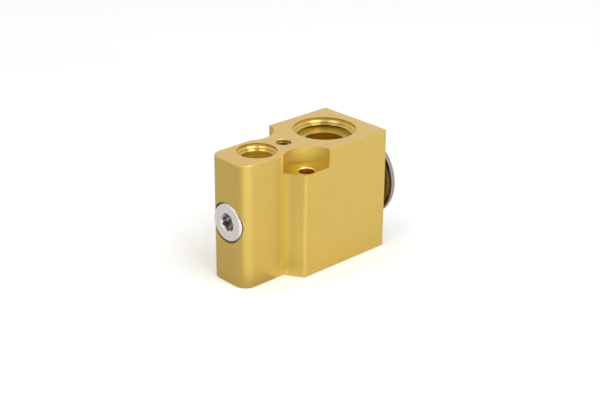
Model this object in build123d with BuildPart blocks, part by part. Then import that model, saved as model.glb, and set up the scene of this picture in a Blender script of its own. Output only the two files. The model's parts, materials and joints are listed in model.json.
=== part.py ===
"""Block-type expansion valve: a machined block with its valve train and power head along X.

Millimetres, +Z up. The origin is on the base face, at mid-width, on the line of the two bolt holes.
+X runs along the valve's axis, from the adjusting plug to the power head.
"""

from build123d import *
from math import cos, radians, sin, sqrt, tan
import os

os.makedirs("parts", exist_ok=True)

# Clearances
sliding_clearance = 0.05
seat_gap = 0.02
stop_gap = 0.2
support_stop_gap = 0.1

# Both hexagons, the plug's socket and the head's, stand with a corner upwards
hexagon_turn = 30.0

# Block: an extruded section, narrow at the plug end and wide at the head end
block_height = 50.0
narrow_width = 19.6
wide_width = 34.0
plug_face_to_bolts = 28.3
shoulder_to_bolts = 3.9
shoulder_angle = 60.0
plug_end_corner_r = 5.0
inner_corner_r = 1.8
shoulder_corner_r = 0.9
head_end_corner_r = 0.4
edge_break = 0.25

# Ports, in line on the top and the base
plug_face_to_inlet = 15.3
inlet_to_suction = 35.0
suction_to_head_face = 17.2
liquid_bore_d = 12.7
liquid_bore_depth = 11.0
liquid_taper_width = 1.4
liquid_passage_d = 6.0
outlet_passage_d = 6.4
suction_bore_d = 21.7
suction_bore_depth = 5.0
suction_taper_width = 1.55
suction_ledge_width = 2.6
port_lip_height = 1.1
port_taper_height = 0.7
port_step_height = 0.25
port_seat_height = 0.6
drill_tip_angle = 118.0

# Bolt holes in milled pockets, and the tapped hole between the ports
bolt_to_side = 3.75
bolt_hole_d = 6.3
bolt_hole_mouth_d = 7.2
pocket_cutter_d = 21.5
pocket_depth = 7.6
pocket_to_bolt_x = 2.3
pocket_to_bolt_y = 5.3
stud_thread_d = 6.0
stud_thread_depth = 13.0
stud_mouth_chamfer = 0.3
stud_to_bolts = 0.4

# Adjusting plug and its seal
plug_thread_d = 15.6
plug_thread_length = 5.5
plug_mouth_chamfer = 0.35
plug_edge_chamfer = 0.6
plug_recess = 0.05
plug_out_travel = 0.5
plug_in_travel = 1.0
plug_socket_af = 6.1
plug_socket_mouth_d = 7.6
plug_socket_depth = 3.0
plug_web = 1.3
plug_groove_width = 1.5
plug_groove_depth = 1.4
plug_groove_wall = 0.75
plug_groove_margin = 0.35
plug_land = 0.7
plug_ring_roundness = 0.4
chamber_step = 1.2
chamber_lead_in = 0.4

# Spring, ball and seat
spring_wire_d = 1.1
spring_coils = 4.75
spring_side_gap = 0.25
ball_d = 5.0
orifice_d = 3.5
seat_insert_d = 6.4
seat_insert_length = 2.0
seat_insert_chamfer = 0.3
seat_web = 0.2
relief_d = 4.8
max_lift = 0.7
carrier_lip = 0.1
carrier_cup_margin = 0.1
carrier_nose_wall = 0.6
carrier_back = 0.5
carrier_disc_thickness = 0.8
carrier_boss_length = 1.4
damper_thickness = 0.3
damper_leg_width = 2.4
damper_leg_length = 3.4
damper_leg_bend_r = 0.5
damper_leg_angles = (-60.0, 60.0, 180.0)

# Push rod and its seal
rod_d = 2.4
rod_end_chamfer = 0.2
seal_pocket_d = 6.0
seal_pocket_depth = 6.5
washer_thickness = 0.6
retainer_thickness = 0.4
retainer_bore_d = 3.4
retainer_teeth = 6
retainer_notch_width = 0.8
retainer_notch_depth = 0.45

# Sensing stem and diaphragm support
stem_d = 8.0
stem_rod_socket_depth = 4.6
stem_shoulder_chamfer = 0.6
throat_d = 12.0
hub_d = 12.0
hub_length = 3.9
spigot_d = 6.0
spigot_length = 3.6
support_side_gap = 0.6
support_thickness = 1.5
support_edge_r = 0.5

# Power head, its rim just proud of the block's sides
rim_proud = 0.3
rim_offset = 4.1
rim_overhang = 1.6
flange_thickness = 0.85
weld_groove = 0.3
clamp_width = 2.7
cup_flare = 1.2
hex_to_rim = 3.3
head_hex_height = 2.7
head_hex_chamfer_angle = 30.0
neck_shoulder = 2.0
neck_wall = 1.8
neck_bore_depth = 7.5
neck_lead_chamfer = 0.8
neck_undercut = 0.8
neck_undercut_length = 2.0
head_mouth_chamfer = 1.6
diaphragm_thickness = 0.15
corrugation_inset = 0.4
corrugation_width = 1.2
corrugation_height = 0.5
shell_thickness = 0.8
weld_flange_width = 2.5
dome_flank_width = 1.8
dome_flank_rise = 2.9
dome_crown_width = 6.0
dome_rise = 4.0
dome_bend_r = 1.0
charge_hole_d = 3.0
charge_head_d = 5.4
charge_head_rim = 0.6
charge_head_height = 1.3
charge_shank_length = 1.8

# Widths and diameters, each from the one it fits
bolt_spacing = wide_width - 2 * bolt_to_side
suction_passage_d = suction_bore_d - 2 * suction_ledge_width
chamber_d = plug_thread_d - 2 * chamber_step
groove_d = chamber_d - 2 * plug_groove_depth
spring_pocket_d = groove_d - 2 * plug_groove_wall
spring_d = spring_pocket_d - 2 * spring_side_gap
carrier_disc_d = spring_d + 2 * carrier_lip
carrier_cup_d = ball_d + 2 * carrier_cup_margin
carrier_nose_d = carrier_cup_d + 2 * carrier_nose_wall
rim_d = wide_width + 2 * rim_proud
head_hex_af = rim_d - 2 * hex_to_rim
neck_thread_d = head_hex_af - 2 * neck_shoulder
neck_bore_d = neck_thread_d - 2 * neck_wall
clamp_land_d = rim_d - 2 * clamp_width
cup_d = clamp_land_d - 2 * cup_flare
support_d = cup_d - 2 * support_side_gap

# Places along X, each from the piece before it
plug_face_x = -plug_face_to_bolts
inlet_x = plug_face_x + plug_face_to_inlet
suction_x = inlet_x + inlet_to_suction
head_face_x = suction_x + suction_to_head_face
shoulder_x = -shoulder_to_bolts
shoulder_run = (wide_width - narrow_width) / 2 / tan(radians(shoulder_angle))
axis_height = block_height / 2

plug_outer_x = plug_face_x + plug_recess
plug_thread_end_x = plug_outer_x + plug_thread_length
plug_bore_end_x = plug_thread_end_x + plug_in_travel + stop_gap
groove_x = plug_bore_end_x + chamber_lead_in + plug_out_travel + plug_groove_margin
groove_end_x = groove_x + plug_groove_width
plug_nose_x = groove_end_x + plug_land
spring_pocket_x = plug_outer_x + plug_socket_depth + plug_web

seat_x = inlet_x + liquid_passage_d / 2 + seat_web
ball_x = seat_x - sqrt(ball_d**2 - orifice_d**2) / 2 - seat_gap
cup_apex_x = ball_x - ball_d / sqrt(2) - seat_gap
carrier_back_x = cup_apex_x - carrier_back
damper_x = carrier_back_x - damper_thickness - seat_gap
spring_end_x = damper_x - seat_gap
insert_end_x = seat_x + seat_insert_length
outlet_x = insert_end_x + outlet_passage_d / 2 + seat_web

seal_pocket_x = suction_x - suction_passage_d / 2 - seal_pocket_depth
rod_seal_width = (seal_pocket_d - rod_d) / 2 - 2 * sliding_clearance
washer_x = seal_pocket_x + rod_seal_width + 2 * seat_gap
retainer_x = washer_x + washer_thickness + seat_gap
stem_tip_x = retainer_x + retainer_thickness + max_lift + stop_gap
stem_body_x = suction_x - sqrt(suction_passage_d**2 - stem_d**2) / 2 + max_lift + stop_gap
rod_start_x = ball_x + ball_d / 2 + seat_gap
rod_end_x = stem_tip_x + stem_rod_socket_depth - seat_gap

neck_bore_x = head_face_x - neck_bore_depth
neck_end_x = neck_bore_x + stop_gap
rim_x = head_face_x + rim_offset
clamp_x = rim_x + flange_thickness
support_front_x = clamp_x - seat_gap
support_back_x = support_front_x - support_thickness
cup_floor_x = support_back_x - max_lift - support_stop_gap
hub_x = support_back_x - hub_length
dome_x = clamp_x + diaphragm_thickness + shell_thickness / 2

chamber_r = chamber_d / 2
plug_r = plug_thread_d / 2 - sliding_clearance
plug_nose_r = chamber_r - sliding_clearance
groove_r = groove_d / 2
rod_guide_r = rod_d / 2 + sliding_clearance
neck_r = neck_thread_d / 2 - seat_gap
undercut_r = neck_thread_d / 2 - neck_undercut

valve_axis = Axis((0, 0, axis_height), (1, 0, 0))


def valve_plane(turn=0.0):
    """Plane through the valve's axis, x along the axis and y outwards, turned from upright."""
    toward_front, upward = sin(radians(turn)), cos(radians(turn))
    return Plane(origin=(0, 0, axis_height), x_dir=(1, 0, 0), z_dir=(0, -upward, -toward_front))


def cross_plane(x):
    """Plane square to the valve's axis at x, facing +X."""
    return Plane(origin=(x, 0, axis_height), x_dir=(0, 1, 0), z_dir=(1, 0, 0))


def turned_face(points, plane=None):
    """Closed outline of a turned form, as (place along the axis, radius) points."""
    with BuildSketch(plane or valve_plane()) as outline:
        with BuildLine():
            Polyline(*points, close=True)
        make_face()
    return outline.sketch


def drill_tip(diameter):
    """Length of the cone that a drill leaves at the bottom of a blind hole."""
    return diameter / 2 / tan(radians(drill_tip_angle / 2))


def port_entry(bore_d, taper_width):
    """(depth, radius) points of a port's upright lip and stepped taper, down to its bore."""
    bore_r = bore_d / 2
    step_depth = port_lip_height + port_taper_height
    step_r = bore_r + taper_width / 2
    return [
        (0, 0),
        (0, bore_r + taper_width),
        (port_lip_height, bore_r + taper_width),
        (step_depth, step_r),
        (step_depth + port_step_height, step_r),
        (step_depth + port_step_height + port_seat_height, bore_r),
    ]


def port_plane(x, on_top):
    """Plane through a port's axis, x down into the block from its face and y outwards."""
    face_z, depth_dir = (block_height, (0, 0, -1)) if on_top else (0, (0, 0, 1))
    return Plane(origin=(x, 0, face_z), x_dir=depth_dir, z_dir=(0, 1, 0))


def liquid_port(x, on_top, passage_d, passage_depth):
    """Space of a small port: tapered entry, tube bore, and a drilled passage below it."""
    points = port_entry(liquid_bore_d, liquid_taper_width) + [
        (liquid_bore_depth, liquid_bore_d / 2),
        (liquid_bore_depth + drill_tip(liquid_bore_d) - drill_tip(passage_d), passage_d / 2),
        (passage_depth, passage_d / 2),
        (passage_depth + drill_tip(passage_d), 0),
    ]
    return turned_face(points, port_plane(x, on_top))


def suction_port(on_top):
    """Space of one end of the suction passage, as far as the ledge inside it."""
    points = port_entry(suction_bore_d, suction_taper_width) + [
        (suction_bore_depth, suction_bore_d / 2),
        (suction_bore_depth, 0),
    ]
    return turned_face(points, port_plane(suction_x, on_top))


# Valve body: the section is extruded upwards, then pocketed, drilled and bored
with BuildPart() as valve_body:
    with BuildSketch() as section:
        with BuildLine():
            Polyline(
                (plug_face_x, 0),
                (plug_face_x, narrow_width / 2),
                (shoulder_x - shoulder_run, narrow_width / 2),
                (shoulder_x, wide_width / 2),
                (head_face_x, wide_width / 2),
                (head_face_x, 0),
                close=True,
            )
        make_face()
        mirror(about=Plane.XZ)
        corner_radii = (plug_end_corner_r, inner_corner_r, shoulder_corner_r, head_end_corner_r)
        for corner_pair, corner_radius in zip(section.vertices().group_by(Axis.X), corner_radii):
            fillet(corner_pair, corner_radius)
    extrude(amount=block_height)
    end_faces = valve_body.faces().filter_by(Axis.Z)
    chamfer(end_faces.edges(), edge_break)

    # Pockets that clear the bolt heads, milled down from the top
    with BuildSketch(Plane.XY.offset(block_height)):
        pocket_y = bolt_spacing / 2 + pocket_to_bolt_y
        with Locations((-pocket_to_bolt_x, pocket_y), (-pocket_to_bolt_x, -pocket_y)):
            Circle(pocket_cutter_d / 2)
    extrude(amount=-pocket_depth, mode=Mode.SUBTRACT)

    # Bolt holes, countersunk lightly at both ends
    bolt_floor = Plane.XY.offset(block_height - pocket_depth)
    for hole_face in (bolt_floor, -Plane.XY):
        with Locations(hole_face):
            with GridLocations(bolt_spacing, bolt_spacing, 1, 2):
                CounterSinkHole(bolt_hole_d / 2, bolt_hole_mouth_d / 2, counter_sink_angle=90)

    # Tapped hole for the pipe clamp's stud
    stud_hole = [
        (0, 0),
        (0, stud_thread_d / 2 + stud_mouth_chamfer),
        (stud_mouth_chamfer, stud_thread_d / 2),
        (stud_thread_depth, stud_thread_d / 2),
        (stud_thread_depth + drill_tip(stud_thread_d), 0),
    ]
    revolve(
        turned_face(stud_hole, port_plane(stud_to_bolts, True)),
        axis=Axis((stud_to_bolts, 0, 0), (0, 0, 1)),
        mode=Mode.SUBTRACT,
    )

    # Inlet port on the top, drilled just into the ball chamber
    revolve(
        liquid_port(inlet_x, True, liquid_passage_d, axis_height - chamber_r),
        axis=Axis((inlet_x, 0, 0), (0, 0, 1)),
        mode=Mode.SUBTRACT,
    )

    # Outlet port on the base, drilled up past the push rod
    revolve(
        liquid_port(outlet_x, False, outlet_passage_d, axis_height),
        axis=Axis((outlet_x, 0, 0), (0, 0, 1)),
        mode=Mode.SUBTRACT,
    )

    # Suction passage straight through, with the same port at both ends
    suction_axis = Axis((suction_x, 0, 0), (0, 0, 1))
    for on_top in (True, False):
        revolve(suction_port(on_top), axis=suction_axis, mode=Mode.SUBTRACT)
    with BuildSketch():
        with Locations((suction_x, 0)):
            Circle(suction_passage_d / 2)
    extrude(amount=block_height, mode=Mode.SUBTRACT)

    # Stepped bore along the valve's axis, from the plug's mouth to the head's neck
    stepped_bore = [
        (plug_face_x, 0),
        (plug_face_x, plug_thread_d / 2 + plug_mouth_chamfer),
        (plug_face_x + plug_mouth_chamfer, plug_thread_d / 2),
        (plug_bore_end_x, plug_thread_d / 2),
        (plug_bore_end_x, chamber_r + chamber_lead_in),
        (plug_bore_end_x + chamber_lead_in, chamber_r),
        (seat_x, chamber_r),
        (seat_x, seat_insert_d / 2 + seat_gap),
        (insert_end_x + seat_gap, seat_insert_d / 2 + seat_gap),
        (insert_end_x + seat_gap, relief_d / 2),
        (outlet_x, relief_d / 2),
        (outlet_x, rod_guide_r),
        (seal_pocket_x, rod_guide_r),
        (seal_pocket_x, seal_pocket_d / 2),
        (suction_x, seal_pocket_d / 2),
        (suction_x, throat_d / 2),
        (neck_bore_x, throat_d / 2),
        (neck_bore_x, neck_thread_d / 2),
        (head_face_x - head_mouth_chamfer, neck_thread_d / 2),
        (head_face_x, neck_thread_d / 2 + head_mouth_chamfer),
        (head_face_x, 0),
    ]
    revolve(turned_face(stepped_bore), axis=valve_axis, mode=Mode.SUBTRACT)
valve_body.part.label = "valve_body"
export_step(valve_body.part, "parts/valve_body.step")

# Adjusting plug: threaded head with a hexagon socket, seal groove and a pocket for the spring
with BuildPart() as adjusting_plug:
    plug_form = [
        (plug_outer_x, 0),
        (plug_outer_x, plug_r - plug_edge_chamfer),
        (plug_outer_x + plug_edge_chamfer, plug_r),
        (plug_thread_end_x, plug_r),
        (plug_thread_end_x, plug_nose_r),
        (groove_x, plug_nose_r),
        (groove_x, groove_r),
        (groove_end_x, groove_r),
        (groove_end_x, plug_nose_r),
        (plug_nose_x, plug_nose_r),
        (plug_nose_x, spring_pocket_d / 2),
        (spring_pocket_x, spring_pocket_d / 2),
        (spring_pocket_x, 0),
    ]
    revolve(turned_face(plug_form), axis=valve_axis)
    with BuildSketch(cross_plane(plug_outer_x)):
        RegularPolygon(plug_socket_af / 2, 6, major_radius=False, rotation=hexagon_turn)
    extrude(amount=plug_socket_depth, mode=Mode.SUBTRACT)
    socket_mouth = [
        (plug_outer_x, 0),
        (plug_outer_x, plug_socket_mouth_d / 2),
        (plug_outer_x + plug_socket_mouth_d / 2, 0),
    ]
    revolve(turned_face(socket_mouth), axis=valve_axis, mode=Mode.SUBTRACT)
adjusting_plug.part.label = "adjusting_plug"
export_step(adjusting_plug.part, "parts/adjusting_plug.step")

# Plug O-ring: squeezed between its groove and the chamber wall
with BuildPart() as plug_o_ring:
    ring_height = chamber_r - groove_r - 2 * sliding_clearance
    ring_width = plug_groove_width - 2 * sliding_clearance
    with BuildSketch(valve_plane()):
        with Locations(((groove_x + groove_end_x) / 2, (chamber_r + groove_r) / 2)):
            RectangleRounded(ring_width, ring_height, plug_ring_roundness * ring_height)
    revolve(axis=valve_axis)
plug_o_ring.part.label = "plug_o_ring"
export_step(plug_o_ring.part, "parts/plug_o_ring.step")

# Superheat spring: a round wire coil, its ends ground flat
with BuildPart() as superheat_spring:
    coil_start_x = spring_pocket_x + seat_gap
    coil_inset = spring_wire_d / 4
    coil_length = spring_end_x - coil_start_x - 2 * coil_inset
    with BuildLine() as coil:
        Helix(
            coil_length / spring_coils,
            coil_length,
            (spring_d - spring_wire_d) / 2,
            center=(coil_start_x + coil_inset, 0, axis_height),
            direction=(1, 0, 0),
        )
    with BuildSketch(Plane(origin=coil.line @ 0, z_dir=coil.line % 0)):
        Circle(spring_wire_d / 2)
    sweep(path=coil.line, is_frenet=True)
    split(bisect_by=cross_plane(coil_start_x), keep=Keep.TOP)
    split(bisect_by=cross_plane(spring_end_x), keep=Keep.BOTTOM)
superheat_spring.part.label = "superheat_spring"
export_step(superheat_spring.part, "parts/superheat_spring.step")

# Damping spring: a thin ring whose three bent legs rub on the chamber wall
with BuildPart() as damping_spring:
    boss_r = spring_d / 2 - spring_wire_d - sliding_clearance
    leg_r = sqrt((chamber_r - sliding_clearance) ** 2 - (damper_leg_width / 2) ** 2)
    with BuildSketch(cross_plane(damper_x)):
        Circle(carrier_disc_d / 2)
        Circle(boss_r + sliding_clearance, mode=Mode.SUBTRACT)
    extrude(amount=damper_thickness)
    for leg_angle in damper_leg_angles:
        with BuildSketch(valve_plane(leg_angle)):
            with BuildLine() as leg:
                FilletPolyline(
                    (damper_x + damper_thickness / 2, carrier_disc_d / 2 - damper_thickness),
                    (damper_x + damper_thickness / 2, leg_r - damper_thickness / 2),
                    (damper_x + damper_leg_length, leg_r - damper_thickness / 2),
                    radius=damper_leg_bend_r,
                )
            trace(line_width=damper_thickness)
        extrude(amount=damper_leg_width / 2, both=True)
damping_spring.part.label = "damping_spring"
export_step(damping_spring.part, "parts/damping_spring.step")

# Ball carrier: a disc on the spring, with a boss inside the coil and a cone that holds the ball
with BuildPart() as ball_carrier:
    cup_rim_x = cup_apex_x + carrier_cup_d / 2
    disc_front_x = carrier_back_x + carrier_disc_thickness
    carrier_form = [
        (carrier_back_x - carrier_boss_length, 0),
        (carrier_back_x - carrier_boss_length, boss_r - edge_break),
        (carrier_back_x - carrier_boss_length + edge_break, boss_r),
        (carrier_back_x, boss_r),
        (carrier_back_x, carrier_disc_d / 2),
        (disc_front_x, carrier_disc_d / 2),
        (disc_front_x, carrier_nose_d / 2),
        (cup_rim_x, carrier_nose_d / 2),
        (cup_rim_x, carrier_cup_d / 2),
        (cup_apex_x, 0),
    ]
    revolve(turned_face(carrier_form), axis=valve_axis)
ball_carrier.part.label = "ball_carrier"
export_step(ball_carrier.part, "parts/ball_carrier.step")

# Valve ball, resting in the carrier and closing the orifice
with BuildPart() as valve_ball:
    with Locations((ball_x, 0, axis_height)):
        Sphere(ball_d / 2)
valve_ball.part.label = "valve_ball"
export_step(valve_ball.part, "parts/valve_ball.step")

# Seat insert: a hard ring pressed in at the end of the chamber, its bore is the orifice
with BuildPart() as seat_insert:
    insert_form = [
        (seat_x, orifice_d / 2),
        (seat_x, seat_insert_d / 2),
        (insert_end_x - seat_insert_chamfer, seat_insert_d / 2),
        (insert_end_x, seat_insert_d / 2 - seat_insert_chamfer),
        (insert_end_x, orifice_d / 2 + seat_insert_chamfer),
        (insert_end_x - seat_insert_chamfer, orifice_d / 2),
    ]
    revolve(turned_face(insert_form), axis=valve_axis)
seat_insert.part.label = "seat_insert"
export_step(seat_insert.part, "parts/seat_insert.step")

# Push rod: a pin from the ball, through the seals, into the sensing stem
with BuildPart() as push_rod:
    with BuildSketch(cross_plane(rod_start_x)):
        Circle(rod_d / 2)
    extrude(amount=rod_end_x - rod_start_x)
    chamfer(push_rod.edges().filter_by(GeomType.CIRCLE), rod_end_chamfer)
push_rod.part.label = "push_rod"
export_step(push_rod.part, "parts/push_rod.step")

# Rod seal: an O-ring at the bottom of the seal pocket
with BuildPart() as rod_seal:
    with BuildSketch(valve_plane()):
        with Locations((seal_pocket_x + seat_gap + rod_seal_width / 2, (seal_pocket_d + rod_d) / 4)):
            Circle(rod_seal_width / 2)
    revolve(axis=valve_axis)
rod_seal.part.label = "rod_seal"
export_step(rod_seal.part, "parts/rod_seal.step")

# Seal washer: keeps the O-ring from being pushed out
with BuildPart() as seal_washer:
    with BuildSketch(cross_plane(washer_x)):
        Circle(seal_pocket_d / 2 - sliding_clearance)
        Circle(rod_guide_r + sliding_clearance, mode=Mode.SUBTRACT)
    extrude(amount=washer_thickness)
seal_washer.part.label = "seal_washer"
export_step(seal_washer.part, "parts/seal_washer.step")

# Seal retainer: a star ring whose teeth bite into the wall of the pocket
with BuildPart() as seal_retainer:
    retainer_r = seal_pocket_d / 2 - seat_gap
    with BuildSketch(cross_plane(retainer_x)):
        Circle(retainer_r)
        Circle(retainer_bore_d / 2, mode=Mode.SUBTRACT)
        with PolarLocations(retainer_r, retainer_teeth):
            Rectangle(2 * retainer_notch_depth, retainer_notch_width, mode=Mode.SUBTRACT)
    extrude(amount=retainer_thickness)
seal_retainer.part.label = "seal_retainer"
export_step(seal_retainer.part, "parts/seal_retainer.step")

# Sensing stem: crosses the suction passage, its tip guided in the seal pocket
with BuildPart() as sensing_stem:
    tip_r = seal_pocket_d / 2 - sliding_clearance
    socket_r = rod_guide_r
    stem_form = [
        (stem_tip_x, socket_r),
        (stem_tip_x, tip_r),
        (stem_body_x, tip_r),
        (stem_body_x, stem_d / 2 - stem_shoulder_chamfer),
        (stem_body_x + stem_shoulder_chamfer, stem_d / 2),
        (hub_x - seat_gap, stem_d / 2),
        (hub_x - seat_gap, spigot_d / 2 - seat_gap),
        (hub_x + spigot_length, spigot_d / 2 - seat_gap),
        (hub_x + spigot_length, 0),
        (stem_tip_x + stem_rod_socket_depth + drill_tip(2 * socket_r), 0),
        (stem_tip_x + stem_rod_socket_depth, socket_r),
    ]
    revolve(turned_face(stem_form), axis=valve_axis)
sensing_stem.part.label = "sensing_stem"
export_step(sensing_stem.part, "parts/sensing_stem.step")

# Diaphragm support: a disc with a hub that sits on the stem's spigot
with BuildPart() as diaphragm_support:
    support_form = [
        (hub_x, spigot_d / 2),
        (hub_x, hub_d / 2),
        (support_back_x, hub_d / 2),
        (support_back_x, support_d / 2),
        (support_front_x, support_d / 2),
        (support_front_x, 0),
        (support_back_x, 0),
        (support_back_x, spigot_d / 2),
    ]
    revolve(turned_face(support_form), axis=valve_axis)
    front_edge = diaphragm_support.edges().filter_by(GeomType.CIRCLE).sort_by(Axis.X)[-1]
    fillet(front_edge, support_edge_r)
diaphragm_support.part.label = "diaphragm_support"
export_step(diaphragm_support.part, "parts/diaphragm_support.step")

# Diaphragm: a thin disc clamped at its rim, with one corrugation round its middle
with BuildPart() as diaphragm:
    diaphragm_x = clamp_x + diaphragm_thickness / 2
    diaphragm_r = rim_d / 2 - weld_groove
    corrugation_r = clamp_land_d / 2 - corrugation_inset - corrugation_width / 2
    with BuildSketch(valve_plane()):
        with BuildLine():
            FilletPolyline(
                (diaphragm_x, diaphragm_r),
                (diaphragm_x, corrugation_r + corrugation_width / 2),
                (diaphragm_x + corrugation_height, corrugation_r),
                (diaphragm_x, corrugation_r - corrugation_width / 2),
                (diaphragm_x, 0),
                radius=corrugation_height,
            )
        trace(line_width=diaphragm_thickness)
    revolve(axis=valve_axis)
diaphragm.part.label = "diaphragm"
export_step(diaphragm.part, "parts/diaphragm.step")

# Lower shell of the head: threaded neck, spanner hexagon and the flange that clamps the diaphragm,
# its rim chamfered so that a V-groove is left for the weld between both shells
with BuildPart() as head_lower_shell:
    shell_form = [
        (neck_end_x, neck_bore_d / 2),
        (neck_end_x, neck_r - neck_lead_chamfer),
        (neck_end_x + neck_lead_chamfer, neck_r),
        (head_face_x - neck_undercut_length, neck_r),
        (head_face_x - neck_undercut_length + neck_undercut, undercut_r),
        (head_face_x, undercut_r),
        (head_face_x, head_hex_af / 2),
        (head_face_x + head_hex_height, head_hex_af / 2),
        (rim_x, rim_d / 2 - rim_overhang),
        (rim_x, rim_d / 2),
        (clamp_x - weld_groove, rim_d / 2),
        (clamp_x, rim_d / 2 - weld_groove),
        (clamp_x, clamp_land_d / 2),
        (rim_x, cup_d / 2),
        (cup_floor_x, cup_d / 2),
        (cup_floor_x, neck_bore_d / 2),
    ]
    revolve(turned_face(shell_form), axis=valve_axis)
    with BuildSketch(cross_plane(head_face_x)):
        RegularPolygon(head_hex_af / 2, 6, major_radius=False, rotation=hexagon_turn)
        Circle(undercut_r, mode=Mode.SUBTRACT)
    extrude(amount=head_hex_height)
    hex_corner_r = head_hex_af / sqrt(3)
    hex_chamfer = (hex_corner_r - head_hex_af / 2) * tan(radians(head_hex_chamfer_angle))
    corner_cut = [
        (head_face_x, head_hex_af / 2),
        (head_face_x, hex_corner_r),
        (head_face_x + hex_chamfer, hex_corner_r),
    ]
    revolve(turned_face(corner_cut), axis=valve_axis, mode=Mode.SUBTRACT)
head_lower_shell.part.label = "head_lower_shell"
export_step(head_lower_shell.part, "parts/head_lower_shell.step")

# Head O-ring: fills the corner between the neck's undercut, the hexagon and the block's chamfer
with BuildPart() as head_o_ring:
    corner_space = head_mouth_chamfer + neck_undercut - (2 + sqrt(2)) * seat_gap
    head_ring_r = corner_space / (2 + sqrt(2))
    with BuildSketch(valve_plane()):
        with Locations((head_face_x - seat_gap - head_ring_r, undercut_r + seat_gap + head_ring_r)):
            Circle(head_ring_r)
    revolve(axis=valve_axis)
head_o_ring.part.label = "head_o_ring"
export_step(head_o_ring.part, "parts/head_o_ring.step")

# Upper shell of the head: a pressed dome over the charge, closed at its middle
with BuildPart() as head_upper_shell:
    dome_foot_r = rim_d / 2 - weld_flange_width
    dome_shoulder_r = dome_foot_r - dome_flank_width
    with BuildSketch(valve_plane()):
        with BuildLine():
            FilletPolyline(
                (dome_x, rim_d / 2),
                (dome_x, dome_foot_r),
                (dome_x + dome_flank_rise, dome_shoulder_r),
                (dome_x + dome_rise, dome_shoulder_r - dome_crown_width),
                (dome_x + dome_rise, charge_hole_d / 2),
                radius=dome_bend_r,
            )
        trace(line_width=shell_thickness)
    revolve(axis=valve_axis)
    rim_edges = head_upper_shell.edges().filter_by(GeomType.CIRCLE).group_by(SortBy.RADIUS)[-1]
    chamfer(rim_edges.sort_by(Axis.X)[0], weld_groove)
head_upper_shell.part.label = "head_upper_shell"
export_step(head_upper_shell.part, "parts/head_upper_shell.step")

# Charge plug: a headed pin welded into the filling hole
with BuildPart() as charge_plug:
    dome_top_x = dome_x + dome_rise + shell_thickness / 2
    shank_r = charge_hole_d / 2 - seat_gap
    head_rim_x = dome_top_x + charge_head_rim
    with BuildSketch(valve_plane()):
        with BuildLine():
            Polyline(
                (dome_top_x + charge_head_height, 0),
                (dome_top_x - charge_shank_length, 0),
                (dome_top_x - charge_shank_length, shank_r),
                (dome_top_x, shank_r),
                (dome_top_x, charge_head_d / 2),
                (head_rim_x, charge_head_d / 2),
            )
            TangentArc(
                (dome_top_x + charge_head_height, 0),
                (head_rim_x, charge_head_d / 2),
                tangent=(0, 1),
            )
        make_face()
    revolve(axis=valve_axis)
charge_plug.part.label = "charge_plug"
export_step(charge_plug.part, "parts/charge_plug.step")
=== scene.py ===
"""Looks of a block-type expansion valve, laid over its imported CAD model.

Metres, +Z up, in the CAD's own frame: +X runs along the valve's axis, from the adjusting plug
to the power head. The sections follow the valve as it is put together.
"""

import json
import math

import bmesh
import bpy
from mathutils import Matrix, Vector


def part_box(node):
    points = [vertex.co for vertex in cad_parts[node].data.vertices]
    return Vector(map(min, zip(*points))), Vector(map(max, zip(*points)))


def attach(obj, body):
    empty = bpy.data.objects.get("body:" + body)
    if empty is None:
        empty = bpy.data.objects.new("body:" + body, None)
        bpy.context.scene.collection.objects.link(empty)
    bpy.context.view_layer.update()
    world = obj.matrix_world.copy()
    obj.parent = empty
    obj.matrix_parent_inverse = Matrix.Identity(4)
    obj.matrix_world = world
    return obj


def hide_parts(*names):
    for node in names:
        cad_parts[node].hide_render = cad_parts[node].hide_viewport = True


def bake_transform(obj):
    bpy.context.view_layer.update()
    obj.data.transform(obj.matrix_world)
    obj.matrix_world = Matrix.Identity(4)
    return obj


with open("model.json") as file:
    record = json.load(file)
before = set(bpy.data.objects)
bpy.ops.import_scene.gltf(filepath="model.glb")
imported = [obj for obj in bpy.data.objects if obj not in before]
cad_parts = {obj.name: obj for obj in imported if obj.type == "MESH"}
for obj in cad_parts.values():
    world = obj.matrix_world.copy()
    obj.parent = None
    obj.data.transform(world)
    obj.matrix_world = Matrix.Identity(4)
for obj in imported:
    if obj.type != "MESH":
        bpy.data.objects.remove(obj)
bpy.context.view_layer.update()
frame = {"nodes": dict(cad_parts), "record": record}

# Valve body: an extruded aluminium block, sawn off, milled, drilled and bored, then anodised gold.
# The extruded sides are satin, and the cutters leave their marks on the ends, pockets and bores.
# Everything else is screwed or pressed into it.
mm = 0.001
body_low, body_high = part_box("valve_body")
plug_low, plug_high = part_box("adjusting_plug")
axis_height = (body_low.z + body_high.z) / 2
mounts = {mount["name"]: mount for mount in frame["record"]["mounts"]}
bolt_y = mounts["flange_bolts"]["dims"]["spacing_y_mm"] * mm / 2
bolt_hole_r = mounts["flange_bolts"]["dims"]["hole_r_mm"] * mm
pocket_x, pocket_y = -2.3 * mm, bolt_y + 5.3 * mm
pocket_r, pocket_depth = 10.75 * mm, 7.6 * mm
lip_depth, seat_depth, ledge_depth = 1.1 * mm, 2.65 * mm, 5.0 * mm
wall_margin, end_margin, port_margin = 0.15 * mm, 0.35 * mm, 1.7 * mm
# Width and depth of the painted shade in the joint round the adjusting plug
joint_shade_width, joint_shade_depth = 0.38 * mm, 1.5 * mm
# The rounded folds of a flank, which carry a painted highlight: their places along and across,
# and how far the highlight reaches
folds = ((-8.06 * mm, 9.8 * mm, 2.6 * mm), (-3.9 * mm, 17.0 * mm, 1.0 * mm))
# The face mill turns about a point far off the block's corner, and each tool has its own feed.
# The rings lie closer on a step than on a wall, by ring_slope.
mill_off_x, mill_off_y = 30 * mm, 25 * mm
bore_feed, pocket_feed = 0.22 * mm, 1.07 * mm
ring_slope = 1.37
mark_depth = 0.012 * mm


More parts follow.
